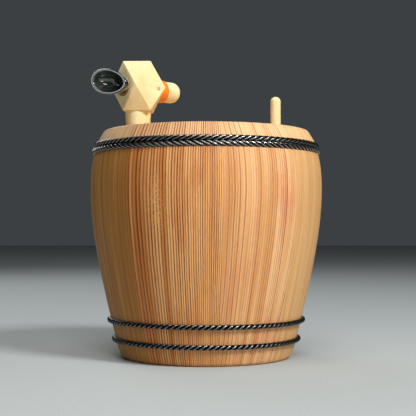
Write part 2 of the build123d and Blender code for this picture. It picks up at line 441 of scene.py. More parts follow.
@dataclass(frozen=True)
class FirFinish(Finish):
    """Fir, sawn nearly on the quarter, turned, sanded and oiled: hard dark latewood in soft pale wood."""

    early: str
    amber: str
    late: str
    blush: str
    seed: float
    ring_mm: float = 1.3
    crowding: float = 0.0
    tilt: float = 0.0
    depth_left: float = 0.0
    depth_right: float = 0.0
    contrast_left: float = 0.6
    contrast_right: float = 0.6
    faintest: float = 0.5
    blush_amount: float = 0.3
    fleck_place_mm: Optional[tuple[float, float]] = None
    fleck_size_mm: tuple[float, float] = (4.5, 11.0)
    run: GrainRun = GrainRun.AROUND
    turn_deg: float = 0.0
    reference_radius_mm: float = 45.0
    half_width_mm: float = 18.0
    wander_mm: float = 0.7
    jitter: float = 0.18
    fibre_mm: float = 0.22
    shoulder_mm: float = 81.0
    # Painted light: the pale colour and its amount, painted on the chime above the shoulder for the light and
    # sheen it catches.
    painted_chime_light: str = "#f5dcae"
    painted_chime_light_amount: float = 0.35
    fade_mm: float = 0.4

    def board(self, tree: NodeTree) -> Board:
        """Find where a point lies on the board, whose middle is turned to -Y.

        Args:
            tree: the material's node tree.

        Returns:
            The board, in millimetres.
        """
        axes = add_node(tree, "SeparateXYZ", [millimetres(tree, self.turn_deg)])
        if self.run is GrainRun.ACROSS:
            bowed = add_node(tree, "Math", [
                axes.outputs["Z"], self.tilt, axes.outputs["X"]], operation="MULTIPLY_ADD")
            return Board(tree, bowed, axes.outputs["Y"], self.seed)
        front = add_node(tree, "Math", [axes.outputs["Y"], -1.0], operation="MULTIPLY")
        angle = add_node(tree, "Math", [axes.outputs["X"], front], operation="ARCTAN2")
        radius = out_from_axis(tree, axes)
        inset = add_node(tree, "Math", [self.reference_radius_mm, radius], operation="SUBTRACT")
        around = add_node(tree, "Math", [angle, self.reference_radius_mm], operation="MULTIPLY")
        across = add_node(tree, "Math", [inset, self.tilt, around], operation="MULTIPLY_ADD")
        return Board(tree, across, axes.outputs["Z"], self.seed)

    def rings(self, board: Board) -> Node:
        """How much latewood there is at a point, from 0 to 1.

        Args:
            board: where the point lies.

        Returns:
            The node that gives a value from 0 to 1.
        """
        tree, across = board.tree, board.across
        # Rings wander a little along the grain, and grow closer towards one side of the board.
        wander = board.noise(width_mm=14.0, length_mm=55.0, offset=0.0)
        place = add_node(tree, "Math", [wander, 2 * self.wander_mm, across], operation="MULTIPLY_ADD")
        jitter = board.noise(width_mm=0.7, length_mm=2.6, offset=2.0, detail=1.0)
        place = add_node(tree, "Math", [
            jitter, self.jitter * self.ring_mm, place], operation="MULTIPLY_ADD")
        square = add_node(tree, "Math", [place, place], operation="MULTIPLY")
        even = add_node(tree, "Math", [place, self.ring_mm], operation="DIVIDE")
        years = add_node(tree, "Math", [square, self.crowding, even], operation="MULTIPLY_ADD")
        year = add_node(tree, "Math", [years], operation="FLOOR")
        season = add_node(tree, "Math", [years], operation="FRACT")

        # Within a year the wood darkens over its second half and stops sharply.
        latewood = add_node(tree, "ValToRGB", [season])
        set_ramp(latewood, (0.0, 0.15), (0.08, 0.0), (0.42, 0.12), (0.66, 0.75), (0.82, 1.0),
                 (0.93, 0.95), (1.0, 0.15))
        year_seed = add_node(tree, "Math", [year, self.seed], operation="ADD")
        good = add_node(tree, "TexWhiteNoise", {"W": year_seed}, noise_dimensions="1D")
        bold = add_node(tree, "MapRange", [good, 0.0, 1.0, self.faintest, 1.0])
        side = add_node(tree, "MapRange", [
            across, -self.half_width_mm, self.half_width_mm, self.contrast_left, self.contrast_right])
        patches = board.noise(width_mm=9.0, length_mm=40.0, offset=5.0)
        patchy = add_node(tree, "MapRange", [patches, 0.3, 0.65, 0.78, 1.0])
        dark = latewood
        for share in (bold, patchy, side):
            dark = add_node(tree, "Math", [dark, share], operation="MULTIPLY", use_clamp=True)
        return self.flecked(board, dark) if self.fleck_place_mm else dark

    def flecked(self, board: Board, dark: Node) -> Node:
        """Break the rings up into short dashes in one patch, where sanding has lifted the pale wood.

        Args:
            board: where the point lies.
            dark: the unbroken latewood.

        Returns:
            The broken latewood.
        """
        tree = board.tree
        dashes = board.noise(width_mm=0.9, length_mm=0.8, offset=8.0, detail=1.0)
        spot = add_node(tree, "CombineXYZ", [board.across, board.along])
        around = add_node(tree, "Mapping", {
            "Vector": spot, "Location": (*self.fleck_place_mm, 0.0), "Scale": (*self.fleck_size_mm, 1.0)},
            vector_type="TEXTURE")
        away = add_node(tree, "VectorMath", [around], operation="LENGTH")
        near = add_node(tree, "MapRange", [away, 0.4, 1.2, 1.0, 0.0])
        lift = add_node(tree, "MapRange", [dashes, 0.42, 0.62, 0.0, 0.75])
        amount = add_node(tree, "Math", [near, lift], operation="MULTIPLY")
        keep = add_node(tree, "Math", [1.0, amount], operation="SUBTRACT")
        return add_node(tree, "Math", [dark, keep], operation="MULTIPLY")

    def look(self, tree: NodeTree) -> dict[str, Any]:
        """Give the wood rings, fibres, blush, a raised grain and painted light on the chime.

        Args:
            tree: the material's node tree.

        Returns:
            What feeds the shader.
        """
        board = self.board(tree)
        dark = self.rings(board)

        # Bands of good and lean years, and pink areas where the resin has darkened.
        years = board.noise(width_mm=2.6, length_mm=90.0, offset=11.0)
        band = add_node(tree, "MapRange", [years, 0.35, 0.65])
        deeper = add_node(tree, "MapRange", [
            board.across, -self.half_width_mm, self.half_width_mm, self.depth_left, self.depth_right])
        depth = add_node(tree, "Math", [band, deeper], operation="ADD", use_clamp=True)
        stain = board.noise(width_mm=7.0, length_mm=24.0, offset=14.0, detail=3.0, roughness=0.55)
        blush = add_node(tree, "MapRange", [stain, 0.5, 0.76, 0.0, self.blush_amount])
        layers = [(depth, self.amber), (blush, self.blush)]
        if self.run is GrainRun.AROUND:
            # Painted light: above the shoulder the chime is painted paler and less saturated, for the light
            # and sheen that its upward-facing bevel catches.
            above = add_node(tree, "MapRange", [
                board.along, self.shoulder_mm - self.fade_mm, self.shoulder_mm + self.fade_mm,
                0.0, self.painted_chime_light_amount])
            layers.append((above, self.painted_chime_light))
        layers.append((dark, self.late))
        wood = linear(self.early)
        for amount, colour in layers:
            wood = add_node(tree, "Mix", {"Factor": amount, 6: wood, 7: linear(colour)}, data_type="RGBA")

        # Fibres: fine broken streaks along the grain.
        fibres = board.noise(self.fibre_mm, 10 * self.fibre_mm, offset=17.0, detail=3.0, roughness=0.65)
        streak = add_node(tree, "MapRange", [fibres, 0.3, 0.7, 0.88, 1.08])
        streaked = add_node(tree, "Mix", {
            "Factor": 1.0, 6: wood, 7: streak}, data_type="RGBA", blend_type="MULTIPLY")

        # Latewood is harder, so sanding leaves it a little proud and smoother.
        height = add_node(tree, "Math", [fibres, 0.5, dark], operation="MULTIPLY_ADD")
        bump = add_node(tree, "Bump", {"Strength": 0.35, "Distance": 0.05 * MM, "Height": height})
        rough = add_node(tree, "MapRange", [dark, 0.0, 1.0, 0.56, 0.44])
        return {"Base Color": streaked, "Normal": bump, "Roughness": rough, "Specular IOR Level": 0.22}


@dataclass(frozen=True)
class BasswoodFinish(Finish):
    """Basswood, sawn and sanded, with no oil: nearly even, with faint fibres and tiny pores."""

    name: str = "sanded_basswood"
    pale: str = "#fdf0be"
    deep: str = "#f4d69a"
    turn_deg: float = 0.0
    fibre_mm: float = 0.35

    def look(self, tree: NodeTree) -> dict[str, Any]:
        """Give the wood faint fibres that run upright.

        Args:
            tree: the material's node tree.

        Returns:
            What feeds the shader.
        """
        place = millimetres(tree, self.turn_deg)
        long_grain = add_node(tree, "Mapping", {
            "Vector": place, "Scale": (1 / self.fibre_mm, 1 / self.fibre_mm, 0.1 / self.fibre_mm)})
        fibres = add_node(tree, "TexNoise", {
            "Vector": long_grain, "Scale": 1.0, "Detail": 3.0, "Roughness": 0.6})
        cloud_place = add_node(tree, "Mapping", {"Vector": place, "Scale": (0.16, 0.16, 0.05)})
        clouds = add_node(tree, "TexNoise", {"Vector": cloud_place, "Scale": 1.0, "Detail": 2.0})
        both = add_node(tree, "Math", [fibres, 0.45, clouds], operation="MULTIPLY_ADD")
        amount = add_node(tree, "MapRange", [both, 0.5, 0.95])
        wood = add_node(tree, "Mix", {
            "Factor": amount, 6: linear(self.pale), 7: linear(self.deep)}, data_type="RGBA")
        bump = add_node(tree, "Bump", {"Strength": 0.25, "Distance": 0.04 * MM, "Height": fibres})
        return {"Base Color": wood, "Normal": bump, "Roughness": 0.6, "Specular IOR Level": 0.3}


@dataclass(frozen=True)
class BlackenedWireFinish(Finish):
    """Silver wire, twisted, blackened in a bath and rubbed back: dark hollows, bright smooth crests."""

    hollow: str = "#0c0c0d"
    crest: str = "#8b8c8c"
    ring_radius_mm: float = 0.0
    level_mm: float = 0.0
    wire_radius_mm: float = 0.0
    grain_mm: float = 1.4
    roughness: float = 0.2
    hollow_roughness: float = 0.16
    hollow_share: float = 0.8
    crest_share: float = 0.98

    def rubbed(self, tree: NodeTree, place: Node) -> Node:
        """How far out in the twisted wire a point is, from the hollows (0) to the crests (1).

        Args:
            tree: the material's node tree.
            place: the point in millimetres.

        Returns:
            The node that gives a value from 0 to 1.
        """
        axes = add_node(tree, "SeparateXYZ", [place])
        section = add_node(tree, "CombineXYZ", [out_from_axis(tree, axes), axes.outputs["Z"]])
        offset = add_node(tree, "VectorMath", [
            section, (self.ring_radius_mm, self.level_mm, 0.0)], operation="SUBTRACT")
        away = add_node(tree, "VectorMath", [offset], operation="LENGTH")
        return add_node(tree, "MapRange", [
            away, self.hollow_share * self.wire_radius_mm, self.crest_share * self.wire_radius_mm])

    def look(self, tree: NodeTree) -> dict[str, Any]:
        """Leave the hollows black and wear the black thin in places.

        Args:
            tree: the material's node tree.

        Returns:
            What feeds the shader.
        """
        place = millimetres(tree)
        mottle = add_node(tree, "TexNoise", {
            "Vector": place, "Scale": 1 / self.grain_mm, "Detail": 2.0, "Roughness": 0.5})
        amount = add_node(tree, "MapRange", [mottle, 0.35, 0.65, 0.65, 1.0])
        if self.wire_radius_mm:
            amount = add_node(tree, "Math", [amount, self.rubbed(tree, place)], operation="MULTIPLY")
        metal = add_node(tree, "Mix", {
            "Factor": amount, 6: linear(self.hollow), 7: linear(self.crest)}, data_type="RGBA")
        rough = add_node(tree, "MapRange", [
            amount, 0.0, 1.0, self.roughness + self.hollow_roughness, self.roughness])
        bump = add_node(tree, "Bump", {"Strength": 0.08, "Distance": 0.02 * MM, "Height": mottle})
        return {"Base Color": metal, "Normal": bump, "Roughness": rough, "Metallic": 1.0}


@dataclass(frozen=True)
class SiliconeFinish(Finish):
    """Moulded silicone rubber: an even, strong colour with a soft sheen and a skin of fine specks."""

    name: str = "moulded_silicone"
    colour: str = "#ff9426"
    shade: str = "#f67f12"
    speck_mm: float = 0.5

    def look(self, tree: NodeTree) -> dict[str, Any]:
        """Fill the rubber with fine specks.

        Args:
            tree: the material's node tree.

        Returns:
            What feeds the shader.
        """
        place = millimetres(tree)
        specks = add_node(tree, "TexNoise", {"Vector": place, "Scale": 1 / self.speck_mm, "Detail": 3.0})
        rubber = add_node(tree, "Mix", {
            "Factor": specks, 6: linear(self.colour), 7: linear(self.shade)}, data_type="RGBA")
        bump = add_node(tree, "Bump", {"Strength": 0.15, "Distance": 0.03 * MM, "Height": specks})
        return {"Base Color": rubber, "Normal": bump, "Roughness": 0.42, "Subsurface Weight": 0.15,
                "Subsurface Radius": (2 * MM, 0.7 * MM, 0.3 * MM)}


@dataclass(frozen=True)
class SmokedGlassFinish(Finish):
    """Blown glass with a near black tint, fire polished: black, and painted grey-green towards one end, where
    the glass is thinner, as painted reflection and see-through light.
    """

    name: str = "smoked_glass_blown"
    # Painted reflection: the grey-green painted at the thin end, for the reflection and see-through light
    # there.
    painted_reflection_colour: str = "#46544d"
    dark_glass_colour: str = "#050606"
    streak_mm: float = 6.0
    middle_mm: tuple[float, float, float] = (0.0, 0.0, 0.0)
    turn_deg: float = 0.0
    half_width_mm: float = 8.85

    def look(self, tree: NodeTree) -> dict[str, Any]:
        """Paint the cup grey-green towards one end, as painted reflection and see-through light.

        Args:
            tree: the material's node tree.

        Returns:
            What feeds the shader.
        """
        place = millimetres(tree)
        streaks = add_node(tree, "TexNoise", {"Vector": place, "Scale": 1 / self.streak_mm, "Detail": 2.0})
        # Painted reflection and see-through light: grey-green painted towards one end of the oval, where the
        # glass is thinner.
        centred = add_node(tree, "Mapping", {
            "Vector": place, "Location": self.middle_mm,
            "Rotation": (0.0, 0.0, math.radians(self.turn_deg))}, vector_type="TEXTURE")
        axes = add_node(tree, "SeparateXYZ", [centred])
        painted_reflection_mask = add_node(tree, "MapRange", [
            axes.outputs["Y"], -0.25 * self.half_width_mm, 0.6 * self.half_width_mm],
            interpolation_type="SMOOTHSTEP")
        painted_reflection_share = add_node(tree, "Math", [
            streaks, -0.5, painted_reflection_mask], operation="MULTIPLY_ADD", use_clamp=True)
        glass_and_painted_reflection = add_node(tree, "Mix", {
            "Factor": painted_reflection_share, 6: linear(self.dark_glass_colour), 7: linear(self.painted_reflection_colour)}, data_type="RGBA")
        return {"Base Color": glass_and_painted_reflection, "Roughness": 0.03, "IOR": 1.75, "Transmission Weight": 0.12,
                "Coat Weight": 1.0, "Coat Roughness": 0.03}


@dataclass(frozen=True)
class GroundGlassFinish(Finish):
    """The rim of a smoked glass cup, ground flat and half polished: silvery grey, partly the ground glass's
    own pale colour and partly a painted highlight of the light it catches, with a soft gleam.
    """

    name: str = "smoked_glass_ground"
    # Both greys are partly the ground rim's own colour and partly a painted highlight of the light it
    # reflects.
    frost_and_painted_highlight: str = "#ccd3d2"
    clear: str = "#98a09f"
    grit_mm: float = 0.8

    def look(self, tree: NodeTree) -> dict[str, Any]:
        """Mottle the ground edge's pale grey, which is partly a painted highlight.

        Args:
            tree: the material's node tree.

        Returns:
            What feeds the shader.
        """
        place = millimetres(tree)
        grit = add_node(tree, "TexNoise", {"Vector": place, "Scale": 1 / self.grit_mm, "Detail": 3.0})
        # Partly painted highlight: the pale silvery grey stands in partly for the light that the rim
        # reflects.
        rim_and_painted_highlight = add_node(tree, "Mix", {
            "Factor": grit, 6: linear(self.frost_and_painted_highlight), 7: linear(self.clear)}, data_type="RGBA")
        return {"Base Color": rim_and_painted_highlight, "Roughness": 0.22, "Specular IOR Level": 0.9}


@dataclass(frozen=True)
class CorkFinish(Finish):
    """Ground cork pressed into a tube: tan grains of many shades."""

    name: str = "pressed_cork"
    pale: str = "#c79a66"
    dark: str = "#7d5634"
    grain_mm: float = 0.9

    def look(self, tree: NodeTree) -> dict[str, Any]:
        """Press grains of many shades together.

        Args:
            tree: the material's node tree.

        Returns:
            What feeds the shader.
        """
        place = millimetres(tree)
        grains = add_node(tree, "TexVoronoi", {"Vector": place, "Scale": 1 / self.grain_mm})
        cork = add_node(tree, "Mix", {
            "Factor": grains, 6: linear(self.pale), 7: linear(self.dark)}, data_type="RGBA")
        bump = add_node(tree, "Bump", {"Strength": 0.4, "Distance": 0.1 * MM, "Height": grains})
        return {"Base Color": cork, "Normal": bump, "Roughness": 0.8}


@dataclass(frozen=True)
class SheetFinish(Finish):
    """A matt painted sheet with a very fine grain, for the floor."""

    colour: str

    def look(self, tree: NodeTree) -> dict[str, Any]:
        """Vary the paint a little.

        Args:
            tree: the material's node tree.

        Returns:
            What feeds the shader.
        """
        place = millimetres(tree)
        grain = add_node(tree, "TexNoise", {"Vector": place, "Scale": 1.6, "Detail": 3.0})
        tone = add_node(tree, "MapRange", [grain, 0.3, 0.7, 0.9, 1.07])
        sheet = add_node(tree, "Mix", {
            "Factor": 1.0, 6: linear(self.colour), 7: tone}, data_type="RGBA", blend_type="MULTIPLY")
        return {"Base Color": sheet, "Roughness": 0.8, "Specular IOR Level": 0.1}


# ---------------------------------------------------------------- the cask


@dataclass(frozen=True)
class Notch:
    """A seat turned into the outside of the staves for one hoop."""

    middle_mm: float
    half_mm: float
    depth_mm: float
    round: bool


@dataclass
class CaskShape:
    """The turned shape of the staves, the same as the frame's."""

    height: float = 86.0
    foot_radius: float = 32.8
    belly_radius: float = 44.35
    belly_height: float = 64.0
    shoulder_radius: float = 42.1
    shoulder_height: float = 81.0
    rim_radius: float = 39.2
    wall: float = 6.0
    foot_flare_deg: float = 14.0
    foot_pull: float = 25.0
    belly_pull_down: float = 18.0
    belly_pull_up: float = 8.5
    shoulder_lean_deg: float = 13.0
    shoulder_pull: float = 6.0
    foot_round: float = 2.0
    rim_round: float = 0.8
    steps: int = 400
    curve: Outline = field(default_factory=list)

    def __post_init__(self) -> None:
        """Work out the outside curve once."""
        flare = math.radians(self.foot_flare_deg)
        lean = math.radians(self.shoulder_lean_deg)
        foot = Vector((self.foot_radius, 0.0))
        belly = Vector((self.belly_radius, self.belly_height))
        shoulder = Vector((self.shoulder_radius, self.shoulder_height))
        lower = (foot, foot + self.foot_pull * Vector((math.sin(flare), math.cos(flare))),
                 belly - Vector((0, self.belly_pull_down)), belly)
        upper = (belly, belly + Vector((0, self.belly_pull_up)),
                 shoulder + self.shoulder_pull * Vector((math.sin(lean), -math.cos(lean))), shoulder)
        for ends in (lower, upper):
            for step in range(self.steps):
                self.curve.append(self.bezier(ends, step / self.steps))
        self.curve.append((self.shoulder_radius, self.shoulder_height))

    @staticmethod
    def bezier(ends: tuple[Vector, Vector, Vector, Vector], t: float) -> tuple[float, float]:
        """A point along a cubic curve, from 0 to 1."""
        a, b, c, d = ends
        spot = a * (1 - t) ** 3 + b * 3 * t * (1 - t) ** 2 + c * 3 * t * t * (1 - t) + d * t ** 3
        return spot.x, spot.y

    def radius(self, level: float) -> float:
        """The outside radius at a height. Above the shoulder the wall keeps its lean.

        Args:
            level: the height in millimetres.

        Returns:
            The radius in millimetres.
        """
        if level >= self.shoulder_height:
            above = level - self.shoulder_height
            return self.shoulder_radius - above * math.tan(math.radians(self.shoulder_lean_deg))
        for (r0, z0), (r1, z1) in zip(self.curve, self.curve[1:]):
            if z0 <= level <= z1:
                return r0 + (r1 - r0) * (level - z0) / max(z1 - z0, 1e-9)
        return self.foot_radius


@dataclass
class Staves:
    """Eight turned staves of unequal width, glued edge to edge."""

    shape: CaskShape
    notches: list[Notch]
    first_joint_deg: float = -128.5
    widths_deg: tuple[float, ...] = (46.0, 39.0, 47.0, 44.0, 46.0, 45.0, 47.0, 46.0)
    level_step: float = 1.6
    turn_step_deg: float = 2.0
    joint_bevel: float = 0.05
    corner_steps: int = 4
    foot_ease: float = 0.25
    notch_margin: float = 0.4
    round_notch_steps: int = 6

    def outside(self) -> Outline:
        """The outside of the section, from foot to rim, with rounded ends and hoop seats.

        Returns:
            (radius, height) points in millimetres.
        """
        shape, count = self.shape, self.corner_steps
        points: Outline = []
        for step in range(count + 1):
            angle = math.radians(90 * step / count)
            points.append((shape.foot_radius - shape.foot_round * (1 - math.sin(angle)) + self.foot_ease,
                           shape.foot_round * (1 - math.cos(angle))))
        level = shape.foot_round + self.level_step
        while level < shape.shoulder_height - self.notch_margin / 2:
            near = [n for n in self.notches if abs(level - n.middle_mm) < n.half_mm + self.notch_margin]
            if near:
                points.extend(self.notch_points(near[0]))
                level = near[0].middle_mm + near[0].half_mm + self.level_step / 2
                continue
            points.append((shape.radius(level), level))
            level += self.level_step
        shoulder = Vector((shape.shoulder_radius, shape.shoulder_height))
        points.append(tuple(shoulder))
        corner = Vector((shape.rim_radius, shape.height))
        before = corner - (corner - shoulder).normalized() * shape.rim_round
        after = corner - Vector((shape.rim_round, 0))
        for step in range(count + 1):
            t = step / count
            points.append(tuple(before * (1 - t) ** 2 + corner * 2 * t * (1 - t) + after * t * t))
        return points

    def notch_points(self, notch: Notch) -> Outline:
        """The points of one hoop's seat, from below to above.

        Args:
            notch: the seat.

        Returns:
            (radius, height) points in millimetres.
        """
        points: Outline = []
        count = self.round_notch_steps if notch.round else 1
        for step in range(count + 1):
            along = -1 + 2 * step / count
            level = notch.middle_mm + along * notch.half_mm
            wall = self.shape.radius(level)
            if notch.round:
                points.append((wall - notch.depth_mm * math.sqrt(max(0.0, 1 - along * along)), level))
            else:
                ends = [(wall, level), (wall - notch.depth_mm, level)]
                points += reversed(ends) if along > 0 else ends
        return points

    def inside(self) -> Outline:
        """The inside of the section, from rim to foot.

        Returns:
            (radius, height) points in millimetres.
        """
        points: Outline = []
        level = self.shape.height
        while level > 0:
            points.append((self.shape.radius(level) - self.shape.wall, level))
            level -= 3 * self.level_step
        points.append((self.shape.foot_radius - self.shape.wall, 0.0))
        return points

    def build(self, finishes: list[FirFinish]) -> None:
        """Turn, dress and hand over every stave.

        Args:
            finishes: one wood for each stave.
        """
        outline = self.outside() + self.inside()
        start = self.first_joint_deg
        for number, (width, finish) in enumerate(zip(self.widths_deg, finishes), start=1):
            piece = outline_ring(f"turned_stave_{number}", outline, start, filled=True)
            spin(piece, width, round(width / self.turn_step_deg))
            bevel(piece, self.joint_bevel, 1, 50.0)
            shade(piece, 28.0)
            dress(piece, finish.build())
            slot = Slot.HEARTWOOD if number <= 2 else Slot.SAPWOOD
            hand_over(piece, Body.CASK, slot, f"stave_{number}")
            start += width


@dataclass
class TwistedWire:
    """A hoop of strands twisted together, bent into a ring."""

    name: str
    ring_radius: float
    level: float
    diameter: float
    strands: int
    turns: int
    left_handed: bool
    sides: int = 10
    steps_per_turn: int = 16

    def strand_radius(self) -> float:
        """The radius of each strand, so that they touch and fill the wire's diameter."""
        spread = math.sin(math.pi / self.strands)
        return self.diameter / 2 * spread / (1 + spread)

    def build(self) -> Object:
        """Twist the strands and bend them into a ring.

        Returns:
            The ring in its place, closed at the back.
        """
        strand = self.strand_radius()
        middle = self.diameter / 2 - strand
        circles = []
        for number in range(self.strands):
            angle = 2 * math.pi * number / self.strands
            deselect()
            bpy.ops.mesh.primitive_circle_add(
                vertices=self.sides, radius=strand * MM,
                location=(middle * MM * math.cos(angle), middle * MM * math.sin(angle), 0))
            circles.append(bpy.context.object)
        wire = join(circles, self.name)
        bpy.ops.object.transform_apply(location=True, rotation=True, scale=True)

        length = 2 * math.pi * self.ring_radius * MM
        screw = wire.modifiers.new("twist", "SCREW")
        screw.angle = math.radians(-360 if self.left_handed else 360)
        screw.screw_offset = length / self.turns
        screw.iterations = self.turns
        screw.steps = screw.render_steps = self.steps_per_turn
        apply_modifiers(wire)

        deselect()
        bpy.ops.curve.primitive_bezier_circle_add(radius=self.ring_radius * MM)
        circle = bpy.context.object
        circle.data.resolution_u = 96
        bend = wire.modifiers.new("bend", "CURVE")
        bend.object = circle
        bend.deform_axis = "POS_Z"
        apply_modifiers(wire)
        bpy.data.objects.remove(circle)
        tidy_mesh(wire)
        seat(wire, Matrix.Translation((0, 0, self.level * MM)) @ Matrix.Rotation(math.radians(-90), 4, "Z"))
        shade(wire, 80.0)
        return wire


@dataclass
class Hoops:
    """The wire hoops: a braid of two opposed twists at the shoulder, two single twists at the foot."""

    shape: CaskShape
    braid_level: float = 79.1
    braid_height: float = 4.1
    braid_thickness: float = 2.2
    braid_bite: float = 1.05
    wire_diameter: float = 1.95
    wire_bite: float = 0.35
    wire_levels: tuple[float, float] = (14.3, 7.1)
    wire_names: tuple[str, str] = ("upper_wire_hoop", "lower_wire_hoop")
    braid_strand_pitch: float = 2.45
    braid_strands: int = 4
    wire_strand_pitch: float = 2.2
    wire_strands: int = 3
    wire_seat_share: float = 0.75
    braid_crest: str = "#aeaba6"
    wire_crest: str = "#94979a"

    def notches(self) -> list[Notch]:
        """The seats that the hoops need in the staves."""
        half = self.wire_diameter / 2 * self.wire_seat_share
        seats = [Notch(level, half, self.wire_bite, True) for level in self.wire_levels]
        seats.append(Notch(self.braid_level, self.braid_height / 2, self.braid_bite, False))
        return sorted(seats, key=lambda notch: notch.middle_mm)

    def twist(self, name: str, level: float, diameter: float, rise: float, strands: int, pitch: float,
              left_handed: bool, crest: str) -> Object:
        """Make one twisted ring at a level and dress it.

        Args:
            name: the ring's name.
            level: its height.
            diameter: its thickness.
            rise: how far its middle stands outside the wall.
            strands: how many strands it has.
            pitch: the distance from one strand to the next along it.
            left_handed: which way the strands turn.
            crest: the sRGB colour of its rubbed crests.

        Returns:
            The dressed ring.
        """
        radius = self.shape.radius(level) + rise
        turns = max(1, round(2 * math.pi * radius / (pitch * strands)))
        ring = TwistedWire(name, radius, level, diameter, strands, turns, left_handed).build()
        dress(ring, BlackenedWireFinish(f"blackened_{name}", crest=crest, ring_radius_mm=radius,
                                        level_mm=level, wire_radius_mm=diameter / 2).build())
        return ring

    def build(self) -> None:
        """Make and hand over all the hoops."""
        half = self.braid_height / 4
        rise = self.braid_thickness / 2 - self.braid_bite
        rows = [self.twist(name, self.braid_level + side * half, 2 * half, rise, self.braid_strands,
                           self.braid_strand_pitch, side > 0, self.braid_crest)
                for name, side in (("upper_row", 1), ("lower_row", -1))]
        hand_over(join(rows, "braided_wire_band"), Body.CASK, Slot.WIRE, "braided_hoop")
        rise = self.wire_diameter / 2 - self.wire_bite
        for node, level in zip(self.wire_names, self.wire_levels):
            piece = self.twist(f"twisted_{node}", level, self.wire_diameter, rise, self.wire_strands,
                               self.wire_strand_pitch, True, self.wire_crest)
            hand_over(piece, Body.CASK, Slot.WIRE, node)
        sleeve = BlackenedWireFinish("blackened_sleeve_metal", crest="#4c4e52", roughness=0.38).build()
        for node in ("braid_clasp", "wire_sleeves"):
            dress_node(node, sleeve)


# ---------------------------------------------------------------- the tap and the peg


